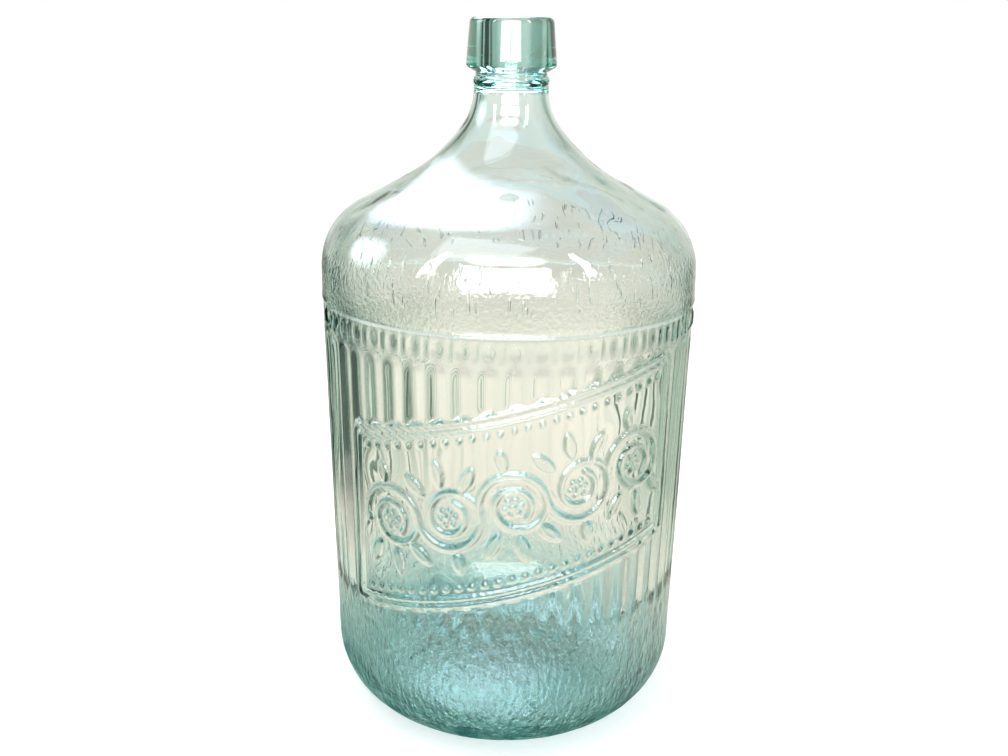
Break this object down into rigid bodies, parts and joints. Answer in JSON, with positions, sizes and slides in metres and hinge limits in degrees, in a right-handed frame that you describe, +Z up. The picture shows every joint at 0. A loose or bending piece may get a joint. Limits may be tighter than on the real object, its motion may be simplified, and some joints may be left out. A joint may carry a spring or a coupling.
{
  "type": "glass demijohn",
  "caption": "Large mould-blown aqua glass bottle with a fluted cylindrical body, a slanted relief panel, a sloping shoulder and a short collared neck for a stopper.",
  "frame": {"origin": "centre of the foot ring, on the surface that the bottle stands on", "axes": "+Z up along the bottle's axis towards the mouth, -Y towards the viewer through the middle of the relief panel"},
  "size_m": [0.2701, 0.2702, 0.507],
  "materials": {
    "aqua_glass": "mould-blown aqua bottle glass, fire polished, with a stippled shoulder and heel"
  },
  "bodies": {
    "root": {"bottle": "aqua_glass"}
  },
  "joints": []
}
